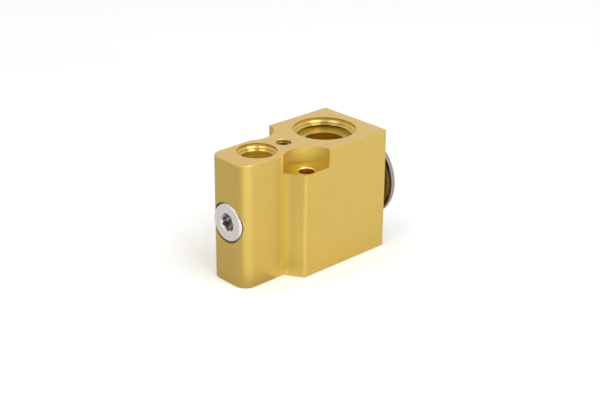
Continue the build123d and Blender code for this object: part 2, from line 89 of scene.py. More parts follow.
def feed(tree, value, socket):
    """Feeds a socket from another one, or sets it to a plain value."""
    if isinstance(value, bpy.types.NodeSocket):
        tree.links.new(value, socket)
    elif isinstance(value, tuple) and socket.type == "RGBA":
        socket.default_value = (*value, 1)
    else:
        socket.default_value = value


def maths(tree, operation, *values, clamp=False):
    """Result of one Math node on sockets or numbers."""
    node = tree.nodes.new("ShaderNodeMath")
    node.operation = operation
    node.use_clamp = clamp
    for value, socket in zip(values, node.inputs):
        feed(tree, value, socket)
    return node.outputs[0]


def between(tree, share, low, high):
    """A number that goes from low to high as the share goes from 0 to 1."""
    return maths(tree, "MULTIPLY_ADD", share, high - low, low)


def ramp(tree, value, start, end):
    """0 where the value is at start, rising to 1 at end, which may be the lower of the two."""
    return maths(tree, "MULTIPLY_ADD", value, 1 / (end - start), -start / (end - start), clamp=True)


def vector_maths(tree, operation, *values):
    """Result of one Vector Math node: a number for a length or a dot product, else a vector."""
    node = tree.nodes.new("ShaderNodeVectorMath")
    node.operation = operation
    for value, socket in zip(values, node.inputs):
        feed(tree, value, socket)
    return node.outputs["Value" if operation in ("LENGTH", "DOT_PRODUCT") else "Vector"]


def scaled(tree, vector, factor):
    """A vector or colour times a number."""
    node = tree.nodes.new("ShaderNodeVectorMath")
    node.operation = "SCALE"
    feed(tree, vector, node.inputs[0])
    feed(tree, factor, node.inputs["Scale"])
    return node.outputs[0]


def noise(tree, place, detail, along_a_line=False):
    """Noise from 0 to 1 with blotches about one unit across, over a point or along a distance."""
    node = tree.nodes.new("ShaderNodeTexNoise")
    node.noise_dimensions = "1D" if along_a_line else "3D"
    feed(tree, place, node.inputs["W" if along_a_line else "Vector"])
    node.inputs["Scale"].default_value = 1.0
    node.inputs["Detail"].default_value = detail
    return node.outputs["Fac"]


def is_colour(value):
    """Whether this is a colour or a vector, plain or on a socket."""
    return isinstance(value, tuple) or getattr(value, "type", "") in ("RGBA", "VECTOR")


def blended(tree, share, first, second):
    """First value or colour at share 0, second at share 1."""
    node = tree.nodes.new("ShaderNodeMix")
    node.data_type = "RGBA" if is_colour(first) or is_colour(second) else "FLOAT"
    share_socket, first_socket, second_socket = [socket for socket in node.inputs if socket.enabled]
    feed(tree, share, share_socket)
    feed(tree, first, first_socket)
    feed(tree, second, second_socket)
    return next(socket for socket in node.outputs if socket.enabled)


def layered(tree, value, *layers):
    """A value or colour, with each layer's own over it where that layer's mask is 1."""
    for mask, own in layers:
        value = blended(tree, mask, value, own)
    return value


def components(tree, vector):
    """X, Y and Z of a vector."""
    node = tree.nodes.new("ShaderNodeSeparateXYZ")
    feed(tree, vector, node.inputs[0])
    return node.outputs["X"], node.outputs["Y"], node.outputs["Z"]


def from_axis(tree, first, second, centre):
    """Distance from an axis, out of two coordinates and the axis's own two."""
    node = tree.nodes.new("ShaderNodeCombineXYZ")
    feed(tree, maths(tree, "SUBTRACT", first, centre[0]), node.inputs["X"])
    feed(tree, maths(tree, "SUBTRACT", second, centre[1]), node.inputs["Y"])
    return vector_maths(tree, "LENGTH", node.outputs[0])


def new_effect(name, inputs, outputs):
    """An empty node group, with the sockets that give its inputs and that take its outputs."""
    group = bpy.data.node_groups.new(name, "ShaderNodeTree")
    for label, default in inputs.items():
        kind = "NodeSocketVector" if isinstance(default, tuple) else "NodeSocketFloat"
        socket = group.interface.new_socket(label, in_out="INPUT", socket_type=kind)
        socket.default_value = default
    for label in outputs:
        group.interface.new_socket(label, in_out="OUTPUT", socket_type="NodeSocketFloat")
    given = group.nodes.new("NodeGroupInput").outputs
    result = group.nodes.new("NodeGroupOutput").inputs
    return group, given, result


def effect(tree, name, **values):
    """Outputs of an effect placed in a material, with the values of its inputs."""
    node = tree.nodes.new("ShaderNodeGroup")
    node.node_tree = bpy.data.node_groups[name]
    for label, value in values.items():
        feed(tree, value, node.inputs[label])
    return node.outputs


def make_satin_grain():
    """Effect: the fine pits of a blasted or etched skin, and a slow change of shade over it."""
    inputs = {"Position": (0, 0, 0), "Grain": 0.2 * mm, "Patch": 10 * mm}
    group, given, result = new_effect("satin_grain", inputs, ("Height", "Shade"))
    for size, detail, outcome in (("Grain", 3.0, "Height"), ("Patch", 2.0, "Shade")):
        place = scaled(group, given["Position"], maths(group, "DIVIDE", 1.0, given[size]))
        feed(group, noise(group, place, detail), result[outcome])


def make_tool_marks():
    """Effect: the even grooves that a cutter leaves as it is fed along, and some uneven ones."""
    inputs = {"Distance": 0.0, "Feed": 0.2 * mm}
    group, given, result = new_effect("tool_marks", inputs, ("Height", "Shade"))
    groove_share, ridges_a_turn, shades_a_turn = 0.3, 0.4, 0.13
    turns = maths(group, "DIVIDE", given["Distance"], given["Feed"])
    groove = maths(group, "SINE", maths(group, "MULTIPLY", turns, math.tau))
    ridge_turns = maths(group, "MULTIPLY", turns, ridges_a_turn)
    ridges = noise(group, ridge_turns, 3.0, along_a_line=True)
    feed(group, maths(group, "MULTIPLY_ADD", groove, groove_share, ridges), result["Height"])
    shade_turns = maths(group, "MULTIPLY", turns, shades_a_turn)
    feed(group, noise(group, shade_turns, 4.0, along_a_line=True), result["Shade"])


def make_edge_wear():
    """Effect: a mask of the edges that have been rubbed, broken up by noise, 0 on open faces."""
    inputs = {"Position": (0, 0, 0), "Radius": 0.3 * mm, "Patchy": 0.5, "Strength": 1.0}
    group, given, result = new_effect("edge_wear", inputs, ("Mask",))
    contrast, patch = 6.0, 1.2 * mm
    rounded = group.nodes.new("ShaderNodeBevel")
    rounded.samples = 4
    feed(group, given["Radius"], rounded.inputs["Radius"])
    face = group.nodes.new("ShaderNodeNewGeometry").outputs["Normal"]
    flatness = vector_maths(group, "DOT_PRODUCT", rounded.outputs[0], face)
    turned_away = maths(group, "MULTIPLY", maths(group, "SUBTRACT", 1.0, flatness), contrast)
    patches = noise(group, scaled(group, given["Position"], 1 / patch), 3.0)
    breaks = maths(group, "MULTIPLY", patches, given["Patchy"])
    bared = maths(group, "SUBTRACT", turned_away, breaks, clamp=True)
    feed(group, maths(group, "MULTIPLY", bared, given["Strength"]), result["Mask"])


make_satin_grain()
make_tool_marks()
make_edge_wear()


def new_finish(name, colour, roughness, metallic=1.0):
    """A material, its tree, its shader, and the object's own position to place effects by."""
    material = bpy.data.materials.new(name)
    material.use_nodes = True
    tree = material.node_tree
    shader = tree.nodes["Principled BSDF"]
    shader.inputs["Base Color"].default_value = (*colour, 1)
    shader.inputs["Roughness"].default_value = roughness
    shader.inputs["Metallic"].default_value = metallic
    position = tree.nodes.new("ShaderNodeTexCoord").outputs["Object"]
    return material, tree, shader, position


def relief(tree, shader, height, depth):
    """Raises and sinks the surface by this height, its full range this deep."""
    bump = tree.nodes.new("ShaderNodeBump")
    bump.inputs["Distance"].default_value = depth
    feed(tree, height, bump.inputs["Height"])
    feed(tree, bump.outputs[0], shader.inputs["Normal"])


def cut_walls(tree, along, across, height):
    """Distance from the nearest cutter's axis, and masks of all cut walls and of the pockets."""
    drilled = [
        (mounts[name]["pos_m"][0], 0.0, mounts[name]["dims"]["r_mm"] * mm + margin)
        for name, margin in (
            ("liquid_inlet", port_margin),
            ("liquid_outlet", port_margin),
            ("suction_outlet", port_margin),
            ("stud_hole", wall_margin),
        )
    ]
    drilled += [(0.0, side * bolt_y, bolt_hole_r + 4 * wall_margin) for side in (-1, 1)]
    pockets = [(pocket_x, side * pocket_y, pocket_r + wall_margin) for side in (-1, 1)]
    above_floor = maths(tree, "GREATER_THAN", height, body_high.z - pocket_depth - wall_margin)
    far_off = 1.0
    nearest, on_wall, in_pocket = far_off, 0.0, 0.0
    for x, y, reach in drilled + pockets:
        outwards = from_axis(tree, along, across, (x, y))
        inside = maths(tree, "LESS_THAN", outwards, reach)
        if (x, y, reach) in pockets:
            inside = maths(tree, "MULTIPLY", inside, above_floor)
            in_pocket = maths(tree, "MAXIMUM", in_pocket, inside)
        nearest = maths(tree, "MINIMUM", nearest, blended(tree, inside, far_off, outwards))
        on_wall = maths(tree, "MAXIMUM", on_wall, inside)
    return nearest, on_wall, in_pocket


def gold_anodising():
    """The block's finish: satin on the extruded skin, cutter marks on whatever was machined."""
    # Painted light and shade among these golds: the folds' is a painted highlight, the lips',
    # ledges', liquid bores' and deep passages' are painted lighter, the other bores' is painted
    # shade, and the brown round the plug is painted shade
    skin_gold, fold_highlight_gold = (0.672, 0.480, 0.117), (0.765, 0.575, 0.135)
    milled_gold, pocket_gold = (0.685, 0.472, 0.134), (0.680, 0.495, 0.094)
    lip_highlight_gold, taper_gold = (0.940, 0.760, 0.220), (0.640, 0.432, 0.106)
    bore_shade_gold, liquid_bore_light_gold = (0.385, 0.275, 0.042), (0.790, 0.590, 0.125)
    ledge_highlight_gold, passage_light_gold = (0.980, 0.820, 0.400), (0.760, 0.425, 0.033)
    rubbed_gold, plug_joint_shade = (0.780, 0.610, 0.270), (0.200, 0.140, 0.045)
    material, tree, shader, position = new_finish("gold_anodising", skin_gold, 0.4)
    shader.inputs["Coat Weight"].default_value = 0.15
    shader.inputs["Coat Roughness"].default_value = 0.3
    along, across, height = components(tree, position)

    # Which cut a surface belongs to, by its place and how far it is below the nearer end
    nearest, on_wall, in_pocket = cut_walls(tree, along, across, height)
    off_middle = maths(tree, "ABSOLUTE", maths(tree, "SUBTRACT", height, axis_height))
    below_end = maths(tree, "SUBTRACT", body_high.z - axis_height, off_middle)
    on_end = maths(tree, "LESS_THAN", below_end, end_margin)
    machined = maths(tree, "MAXIMUM", on_wall, on_end)
    in_lip = maths(tree, "LESS_THAN", below_end, lip_depth)
    in_bore = maths(tree, "GREATER_THAN", below_end, seat_depth)
    past_ledge = maths(tree, "GREATER_THAN", below_end, ledge_depth + wall_margin)
    in_liquid = maths(tree, "MULTIPLY", in_bore, maths(tree, "LESS_THAN", along, -bolt_hole_r))
    least_upright = 0.7
    upright = components(tree, tree.nodes.new("ShaderNodeNewGeometry").outputs["Normal"])[2]
    lies_flat = maths(tree, "GREATER_THAN", maths(tree, "ABSOLUTE", upright), least_upright)
    on_ledge = maths(tree, "MULTIPLY", in_bore, lies_flat)

    # Cutter marks: rings round each axis, and the wide arcs of the face mill across the ends
    mill_centre = (body_low.x - mill_off_x, body_low.y - mill_off_y, 0.0)
    sweep = vector_maths(tree, "LENGTH", vector_maths(tree, "SUBTRACT", position, mill_centre))
    bored = maths(tree, "MULTIPLY_ADD", nearest, ring_slope, height)
    feed_step = between(tree, in_pocket, bore_feed, pocket_feed)
    distance = blended(tree, on_end, bored, sweep)
    marks = effect(tree, "tool_marks", Distance=distance, Feed=feed_step)
    grain = effect(tree, "satin_grain", Position=position, Grain=0.25 * mm, Patch=9 * mm)
    worn = effect(
        tree, "edge_wear", Position=position, Radius=0.35 * mm, Patchy=0.5, Strength=0.15
    )["Mask"]

    # Colour: each cut has its own gold, with painted light and shade: lips, ledges, liquid bores
    # and deep passages are painted lighter, the other bores darker as painted shade, and the folds
    # of the flanks carry a painted highlight
    cut_gold = layered(
        tree,
        taper_gold,
        (in_bore, bore_shade_gold),
        (in_lip, lip_highlight_gold),
        (past_ledge, passage_light_gold),
        (in_liquid, liquid_bore_light_gold),
        (on_ledge, ledge_highlight_gold),
        (in_pocket, pocket_gold),
        (on_end, milled_gold),
    )
    # Painted highlight along each fold, full within half its reach and gone at its reach
    in_fold_highlight = 0.0
    for x, y, reach in folds:
        for side in (-1, 1):
            away = from_axis(tree, along, across, (x, side * y))
            in_fold_highlight = maths(tree, "MAXIMUM", in_fold_highlight, ramp(tree, away, reach, reach / 2))
    colour = blended(tree, machined, blended(tree, in_fold_highlight, skin_gold, fold_highlight_gold), cut_gold)
    shaded = scaled(tree, colour, between(tree, grain["Shade"], 0.96, 1.04))
    rubbed = blended(tree, worn, shaded, rubbed_gold)

    # A dark ring round the adjusting plug's mouth: painted shade in the joint between plug and
    # block
    off_axis = from_axis(tree, across, height, (0.0, axis_height))
    round_plug = maths(tree, "LESS_THAN", off_axis, plug_high.y + joint_shade_width)
    near_mouth = maths(tree, "LESS_THAN", along, body_low.x + joint_shade_depth)
    joint_shaded = maths(tree, "MULTIPLY", round_plug, near_mouth)
    feed(tree, blended(tree, joint_shaded, rubbed, plug_joint_shade), shader.inputs["Base Color"])

    # Gloss: reamed walls are the smoothest, and milled faces the most even
    reamed, drilled, end_face, pocket_wall = 0.18, 0.38, 0.34, 0.42
    bored_spread, milled_spread = 0.14, 0.08
    milled = maths(tree, "MAXIMUM", on_end, in_pocket)
    bored_roughness = layered(
        tree, reamed, *((mask, drilled) for mask in (in_lip, on_ledge, in_liquid, past_ledge))
    )
    milled_roughness = blended(tree, in_pocket, end_face, pocket_wall)
    least = blended(tree, milled, bored_roughness, milled_roughness)
    spread = blended(tree, milled, bored_spread, milled_spread)
    cut_roughness = maths(tree, "MULTIPLY_ADD", marks["Shade"], spread, least)
    skin_roughness = between(tree, grain["Shade"], 0.36, 0.44)
    feed(tree, blended(tree, machined, skin_roughness, cut_roughness), shader.inputs["Roughness"])

    # Relief: how deep the marks of each cut are, as a share of mark_depth
    taper_share, bore_share, end_share, pocket_share, skin_share = 0.35, 0.8, 0.25, 2.6, 0.5
    share = layered(
        tree, taper_share, (in_bore, bore_share), (on_end, end_share), (in_pocket, pocket_share)
    )
    cut_height = maths(tree, "MULTIPLY", marks["Height"], share)
    skin_height = maths(tree, "MULTIPLY", grain["Height"], skin_share)
    relief(tree, shader, blended(tree, machined, skin_height, cut_height), mark_depth)
    return material


def dress(material, *names):
    """Gives CAD nodes this finish."""
    for name in names:
        node = frame["nodes"][name]
        node.data.materials.clear()
        node.data.materials.append(material)


dress(gold_anodising(), "valve_body")

# Thread of the tapped hole between the ports: cut in the block itself, for the stud of the clamp
# that holds both pipes. The CAD hole is as wide as the thread's roots, and these are its ridges.
# The first ridge rises out of the wall, as a tap leaves it.
stud_pitch = 1.0 * mm
stud_root_r = mounts["stud_hole"]["dims"]["r_mm"] * mm
stud_x = mounts["stud_hole"]["pos_m"][0]
stud_turns = mounts["stud_hole"]["dims"]["length_mm"] * mm / stud_pitch - 1.0
turns_to_ridge = 0.75
ridge_height = 0.54 * stud_pitch
ridge_root, ridge_crest = 0.42 * stud_pitch, 0.07 * stud_pitch
ridge_sink = 0.02 * mm
steps_a_turn = 48
sharp_angle = math.radians(40)


def new_piece(name, build, material, body=None):
    """A mesh piece that a function builds into a bmesh, with its finish, riding on a CAD body."""
    mesh = bpy.data.meshes.new(name)
    shape = bmesh.new()
    build(shape)
    bmesh.ops.recalc_face_normals(shape, faces=shape.faces)
    shape.to_mesh(mesh)
    shape.free()
    mesh.materials.append(material)
    mesh.shade_smooth()
    mesh.set_sharp_from_angle(angle=sharp_angle)
    piece = bpy.data.objects.new(name, mesh)
    bpy.context.scene.collection.objects.link(piece)
    if body:
        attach(piece, body)
    return piece


def join_rings(shape, rings, capped=True):
    """Faces between one closed ring of vertices and the next, and over both ends."""
    for ring, following in zip(rings, rings[1:]):
        for i, vertex in enumerate(ring):
            j = (i + 1) % len(ring)
            shape.faces.new((vertex, ring[j], following[j], following[i]))
    if capped:
        shape.faces.new(rings[0])
        shape.faces.new(rings[-1])


def stud_ridges(shape):
    """One long V-shaped ridge, wound down the wall of the hole."""
    rings = []
    for step in range(int(stud_turns * steps_a_turn) + 1):
        turn = step / steps_a_turn
        rise = min(1.0, turn, stud_turns - turn)
        z = body_high.z - stud_pitch * (turns_to_ridge + turn)
        angle = math.tau * turn
        profile = (
            (stud_root_r + ridge_sink, ridge_root),
            (stud_root_r - rise * ridge_height, ridge_crest),
            (stud_root_r - rise * ridge_height, -ridge_crest),
            (stud_root_r + ridge_sink, -ridge_root),
        )
        ring = []
        for r, lift in profile:
            place = (stud_x + r * math.cos(angle), -r * math.sin(angle), z + lift)
            ring.append(shape.verts.new(place))
        rings.append(ring)
    join_rings(shape, rings)


def cut_thread():
    """Freshly tapped gold, smoother along its flanks than the bored walls."""
    # Painted shade: the thread's gold is darkened for the shade inside the hole
    thread_shade_gold = (0.42, 0.27, 0.045)
    material, tree, shader, position = new_finish("cut_thread", thread_shade_gold, 0.22)
    grain = effect(tree, "satin_grain", Position=position, Grain=0.12 * mm, Patch=3 * mm)
    feed(tree, between(tree, grain["Shade"], 0.15, 0.31), shader.inputs["Roughness"])
    relief(tree, shader, grain["Height"], 0.006 * mm)
    return material


stud_thread = new_piece("stud_thread", stud_ridges, cut_thread(), "block")

# Valve train: a ground ball in a turned brass carrier, with a pressed ring of three legs behind it
# that rubs on the chamber's wall, and a hard steel seat that the ball closes.
# They drop into the chamber from the plug's end.


def make_valve_turning():
    """Effect: distance from the valve's axis, and the path that marks of turned parts follow."""
    group, given, result = new_effect("valve_turning", {"Position": (0, 0, 0)}, ("Out", "Path"))
    along, across, height = components(group, given["Position"])
    outwards = from_axis(group, across, height, (0.0, axis_height))
    feed(group, outwards, result["Out"])
    feed(group, maths(group, "MULTIPLY_ADD", outwards, ring_slope, along), result["Path"])


make_valve_turning()


def turned_metal(name, colour, roughness, mark_step, mark_depth, rubbed, spread=0.16):
    """A part turned on the valve's axis: rings of the tool's feed, uneven gloss, rubbed edges."""
    material, tree, shader, position = new_finish(name, colour, roughness)
    path = effect(tree, "valve_turning", Position=position)["Path"]
    marks = effect(tree, "tool_marks", Distance=path, Feed=mark_step)
    grain = effect(tree, "satin_grain", Position=position, Grain=0.2 * mm, Patch=4 * mm)
    worn = effect(
        tree, "edge_wear", Position=position, Radius=0.25 * mm, Patchy=0.4, Strength=0.7
    )["Mask"]
    ringed = between(tree, marks["Shade"], 1 - spread / 2, 1 + spread / 2)
    patched = between(tree, grain["Shade"], 0.95, 1.05)
    shaded = scaled(tree, colour, maths(tree, "MULTIPLY", ringed, patched))
    feed(tree, blended(tree, worn, shaded, rubbed), shader.inputs["Base Color"])
    gloss = between(tree, marks["Shade"], 0.75 * roughness, 1.25 * roughness)
    feed(tree, gloss, shader.inputs["Roughness"])
    relief(tree, shader, marks["Height"], mark_depth)
    return material


brass = turned_metal(
    "turned_brass",
    colour=(0.72, 0.50, 0.20),
    roughness=0.24,
    mark_step=0.08 * mm,
    mark_depth=0.006 * mm,
    rubbed=(0.86, 0.68, 0.36),
)
seat_steel = turned_metal(
    "seat_steel",
    colour=(0.60, 0.59, 0.57),
    roughness=0.16,
    mark_step=0.04 * mm,
    mark_depth=0.003 * mm,
    rubbed=(0.80, 0.79, 0.77),
)


def polished_ball():
    """Hardened ball: a mirror, with faint lapping haze."""
    ball_steel = (0.76, 0.76, 0.77)
    material, tree, shader, position = new_finish("polished_ball", ball_steel, 0.05)
    grain = effect(tree, "satin_grain", Position=position, Grain=0.3 * mm, Patch=1.5 * mm)
    feed(tree, between(tree, grain["Shade"], 0.02, 0.12), shader.inputs["Roughness"])
    return material


def pressed_sheet():
    """Cold-rolled strip: fine lines along its rolling direction, brighter at its sheared edges."""
    rolled, sheared = (0.62, 0.61, 0.59), (0.85, 0.84, 0.82)
    material, tree, shader, position = new_finish("pressed_sheet", rolled, 0.3)
    across = components(tree, position)[1]
    lines = effect(tree, "tool_marks", Distance=across, Feed=0.05 * mm)
    worn = effect(tree, "edge_wear", Position=position, Radius=0.1 * mm, Patchy=0.4)["Mask"]
    strip = scaled(tree, rolled, between(tree, lines["Shade"], 0.9, 1.1))
    feed(tree, blended(tree, worn, strip, sheared), shader.inputs["Base Color"])
    feed(tree, between(tree, lines["Shade"], 0.2, 0.4), shader.inputs["Roughness"])
    relief(tree, shader, lines["Height"], 0.002 * mm)
    return material


strip_steel = pressed_sheet()
dress(brass, "ball_carrier", "seal_washer")
dress(seat_steel, "seat_insert")
dress(polished_ball(), "valve_ball")
dress(strip_steel, "damping_spring", "seal_retainer")

# Superheat spring: drawn steel wire, coiled with its ends ground flat, between plug and carrier.
# It is made as two halves of one coil, which meet in the middle: one by the plug and the other by
# the carrier.
wire_d = 1.1 * mm
coil_turns = 4.75
wire_sides = 16
coil_low, coil_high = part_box("superheat_spring")
coil_r = (coil_high.z - coil_low.z) / 2 - wire_d / 2
coil_start = coil_low.x + wire_d / 4
coil_advance = (coil_high.x - coil_low.x - wire_d / 2) / coil_turns


def coil_wire(first_turn, last_turn):
    """Builder of a stretch of the coil, its flat ends where the CAD spring's are."""

    def build(shape):
        rings = []
        steps = round((last_turn - first_turn) * steps_a_turn)
        lean = math.atan2(coil_advance, math.tau * coil_r)
        lean_along, lean_round = math.cos(lean), math.sin(lean)
        for step in range(steps + 1):
            turn = first_turn + (last_turn - first_turn) * step / steps
            angle = math.tau * turn
            outward = Vector((0, math.cos(angle), math.sin(angle)))
            sideways = Vector(
                (lean_along, lean_round * math.sin(angle), -lean_round * math.cos(angle))
            )
            middle = Vector((coil_start + coil_advance * turn, 0, axis_height)) + coil_r * outward
            ring = []
            for side in range(wire_sides):
                around = math.tau * side / wire_sides
                rim = math.cos(around) * outward + math.sin(around) * sideways
                place = middle + wire_d / 2 * rim
                place.x = min(max(place.x, coil_low.x), coil_high.x)
                ring.append(shape.verts.new(place))
            rings.append(ring)
        join_rings(shape, rings)

    return build


def drawn_wire():
    """Oil-hardened wire: grey, with faint die lines and a thin film of oil."""
    wire_grey = (0.42, 0.42, 0.43)
    material, tree, shader, position = new_finish("drawn_wire", wire_grey, 0.3)
    shader.inputs["Coat Weight"].default_value = 0.2
    grain = effect(tree, "satin_grain", Position=position, Grain=0.15 * mm, Patch=2 * mm)
    shaded = scaled(tree, wire_grey, between(tree, grain["Shade"], 0.8, 1.2))
    feed(tree, shaded, shader.inputs["Base Color"])
    feed(tree, between(tree, grain["Height"], 0.22, 0.42), shader.inputs["Roughness"])
    relief(tree, shader, grain["Height"], 0.004 * mm)
    return material


wire_steel = drawn_wire()
for name, turns, follows, coil_end in (
    ("superheat_spring_plug_half", (0.0, coil_turns / 2), "plug_seal", coil_low.x),
    ("superheat_spring_ball_half", (coil_turns / 2, coil_turns), "valve_train", coil_high.x),
):
    half = new_piece(name, coil_wire(*turns), wire_steel)
    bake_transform(half)
    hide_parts("superheat_spring")

# Adjusting plug: bar steel turned on a lathe, with a hexagon socket broached into its face.
# It screws into the plug's bore, and its face keeps the bright rings of the facing tool.
# The socket is painted dark, as the shade inside it, with random lighter streaks.
socket_r = 3.8 * mm
socket_shade_depth = 0.8 * mm


def plug_steel():
    """Bright turned face and thread, with the socket painted dark as shade."""
    bright, rubbed_bright = (0.85, 0.820, 0.765), (0.92, 0.91, 0.89)
    socket_shade_dark, socket_streak_light = (0.20, 0.195, 0.19), (0.72, 0.71, 0.69)
    material, tree, shader, position = new_finish("plug_steel", bright, 0.3)
    turned = effect(tree, "valve_turning", Position=position)
    marks = effect(tree, "tool_marks", Distance=turned["Path"], Feed=0.12 * mm)
    grain = effect(tree, "satin_grain", Position=position, Grain=0.2 * mm, Patch=3 * mm)
    worn = effect(
        tree, "edge_wear", Position=position, Radius=0.2 * mm, Patchy=0.5, Strength=0.6
    )["Mask"]
    below_face = maths(tree, "SUBTRACT", components(tree, position)[0], plug_low.x)
    in_hole = maths(tree, "LESS_THAN", turned["Out"], socket_r)
    # Painted shade inside the socket, full from a little below its mouth
    shaded_socket = maths(tree, "MULTIPLY", in_hole, ramp(tree, below_face, 0.0, socket_shade_depth))
    ringed = scaled(tree, bright, between(tree, marks["Shade"], 0.92, 1.08))
    rubbed = blended(tree, worn, ringed, rubbed_bright)
    streak_size, streak_from, streak_to = (3 * mm, mm, mm), 0.42, 0.62
    streaks = noise(tree, vector_maths(tree, "DIVIDE", position, streak_size), 2.0)
    streaked = ramp(tree, streaks, streak_from, streak_to)
    broached = blended(tree, streaked, socket_shade_dark, socket_streak_light)
    feed(tree, blended(tree, shaded_socket, rubbed, broached), shader.inputs["Base Color"])
    turned_gloss, socket_gloss = between(tree, marks["Shade"], 0.2, 0.36), 0.18
    feed(tree, blended(tree, shaded_socket, turned_gloss, socket_gloss), shader.inputs["Roughness"])
    relief(tree, shader, blended(tree, in_hole, marks["Height"], grain["Height"]), 0.008 * mm)
    return material


dress(plug_steel(), "adjusting_plug")

# Seals: moulded rubber O-rings on the plug, round the push rod and under the power head.
# They are green, as refrigerant-proof rubber is, matt, with a thin film of oil.


def seal_rubber():
    """Moulded rubber with a fine bloom."""
    rubber_green, bloom_grey = (0.012, 0.065, 0.035), (0.06, 0.11, 0.085)
    material, tree, shader, position = new_finish("seal_rubber", rubber_green, 0.55, metallic=0.0)
    shader.inputs["Coat Weight"].default_value = 0.15
    shader.inputs["Coat Roughness"].default_value = 0.25
    grain = effect(tree, "satin_grain", Position=position, Grain=0.18 * mm, Patch=2.5 * mm)
    bloom = between(tree, grain["Shade"], 0.0, 0.35)
    feed(tree, blended(tree, bloom, rubber_green, bloom_grey), shader.inputs["Base Color"])
    feed(tree, between(tree, grain["Shade"], 0.42, 0.67), shader.inputs["Roughness"])
    relief(tree, shader, grain["Height"], 0.01 * mm)
    return material


dress(seal_rubber(), "plug_o_ring", "rod_seal", "head_o_ring")

# Push rod and sensing stem: a centreless-ground steel pin from the ball to a turned aluminium
# stem, which crosses the suction passage and feels the temperature of the gas there.
# A brass disc on the stem's spigot carries the diaphragm's middle.
rod_steel = turned_metal(
    "ground_rod",
    colour=(0.66, 0.66, 0.67),
    roughness=0.12,
    mark_step=0.03 * mm,
    mark_depth=0.001 * mm,
    rubbed=(0.8, 0.8, 0.8),
    spread=0.06,
)
stem_aluminium = turned_metal(
    "stem_aluminium",
    colour=(0.78, 0.78, 0.79),
    roughness=0.28,
    mark_step=0.12 * mm,
    mark_depth=0.008 * mm,
    rubbed=(0.9, 0.9, 0.9),
)
dress(rod_steel, "push_rod")
dress(stem_aluminium, "sensing_stem")
dress(brass, "diaphragm_support")

# Power head: two stainless shells with the diaphragm between them, welded together at the rim.
# The lower shell is turned, with a threaded neck, and the upper one is pressed from sheet.
# The weld's heat leaves a straw tint near the rim, and the side that faces the block is painted
# dark brown as shade in the gap, lighter near the rim.
head_low, head_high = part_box("head_lower_shell")
rim_r = (head_high.z - head_low.z) / 2
tint_width = 2.5 * mm
half_diaphragm = 0.075 * mm
weld_x = head_high.x + half_diaphragm
weld_width = 0.62 * mm


def head_steel(name, mark_step, mark_depth):
    """Stainless steel with rings of turning or spinning, and the weld's tint near the rim."""
    steel, straw, rubbed_steel = (0.66, 0.64, 0.61), (0.43, 0.37, 0.305), (0.86, 0.85, 0.83)
    gap_shade_dark, gap_shade_near_rim = (0.092, 0.059, 0.023), (0.30, 0.205, 0.09)
    tint_share, full_facing = 0.8, -0.5
    material, tree, shader, position = new_finish(name, steel, 0.3)
    turned = effect(tree, "valve_turning", Position=position)
    marks = effect(tree, "tool_marks", Distance=turned["Path"], Feed=mark_step)
    worn = effect(
        tree, "edge_wear", Position=position, Radius=0.2 * mm, Patchy=0.4, Strength=0.6
    )["Mask"]
    heat = ramp(tree, turned["Out"], rim_r - tint_width, rim_r)
    # Painted shade on the side that faces the block: dark brown, lighter near the rim
    facing = components(tree, tree.nodes.new("ShaderNodeNewGeometry").outputs["Normal"])[0]
    before_rim = maths(tree, "LESS_THAN", components(tree, position)[0], weld_x - weld_width)
    shaded_to_block = maths(tree, "MULTIPLY", before_rim, ramp(tree, facing, 0.0, full_facing))
    ringed = scaled(tree, steel, between(tree, marks["Shade"], 0.92, 1.08))
    tinted = blended(tree, maths(tree, "MULTIPLY", heat, tint_share), ringed, straw)
    gap_shaded = blended(tree, shaded_to_block, tinted, blended(tree, heat, gap_shade_dark, gap_shade_near_rim))
    feed(tree, blended(tree, worn, gap_shaded, rubbed_steel), shader.inputs["Base Color"])
    feed(tree, between(tree, marks["Shade"], 0.22, 0.38), shader.inputs["Roughness"])
    relief(tree, shader, marks["Height"], mark_depth)
    return material


turned_shell = head_steel("turned_shell", mark_step=0.15 * mm, mark_depth=0.008 * mm)
pressed_shell = head_steel("pressed_shell", mark_step=0.4 * mm, mark_depth=0.004 * mm)
dress(turned_shell, "head_lower_shell")
dress(pressed_shell, "head_upper_shell", "charge_plug")
dress(strip_steel, "diaphragm")

# Weld round the rim of the power head: a plasma seam that fills the groove between both shells
# and seals the diaphragm's edge. It has the fine ripples of the pool that ran round it.
weld_ripple = 0.45 * mm
weld_rise = 0.03 * mm
weld_root_r, weld_crest_r = rim_r - 0.25 * mm, rim_r - 0.01 * mm
weld_sides = 8
steps_a_ripple = 6


def weld_bead(shape):
    """A low crown, its crest rising and falling once a ripple."""
    ripples = round(math.tau * rim_r / weld_ripple)
    steps = steps_a_ripple * ripples
    rings = []
    for step in range(steps):
        angle = math.tau * step / steps
        ripple = weld_rise * (0.5 + 0.5 * math.cos(ripples * angle))
        ring = []
        for side in range(weld_sides + 1):
            around = math.pi * side / weld_sides
            r = weld_root_r + (weld_crest_r - ripple - weld_root_r) * math.sin(around) ** 0.5
            x = weld_x - weld_width / 2 * math.cos(around)
            place = (x, r * math.cos(angle), axis_height + r * math.sin(angle))
            ring.append(shape.verts.new(place))
        rings.append(ring)
    join_rings(shape, rings + rings[:1], capped=False)


def weld_steel():
    """Steel that was molten, dulled by its own heat in bands of straw and brown."""
    weld_grey, weld_brown = (0.225, 0.200, 0.176), (0.19, 0.15, 0.10)
    brown_from, brown_to = 0.35, 0.85
    material, tree, shader, position = new_finish("weld_steel", weld_grey, 0.3)
    grain = effect(tree, "satin_grain", Position=position, Grain=0.15 * mm, Patch=2.5 * mm)
    share = ramp(tree, grain["Shade"], brown_from, brown_to)
    feed(tree, blended(tree, share, weld_grey, weld_brown), shader.inputs["Base Color"])
    feed(tree, between(tree, grain["Height"], 0.25, 0.45), shader.inputs["Roughness"])
    relief(tree, shader, grain["Height"], 0.004 * mm)
    return material


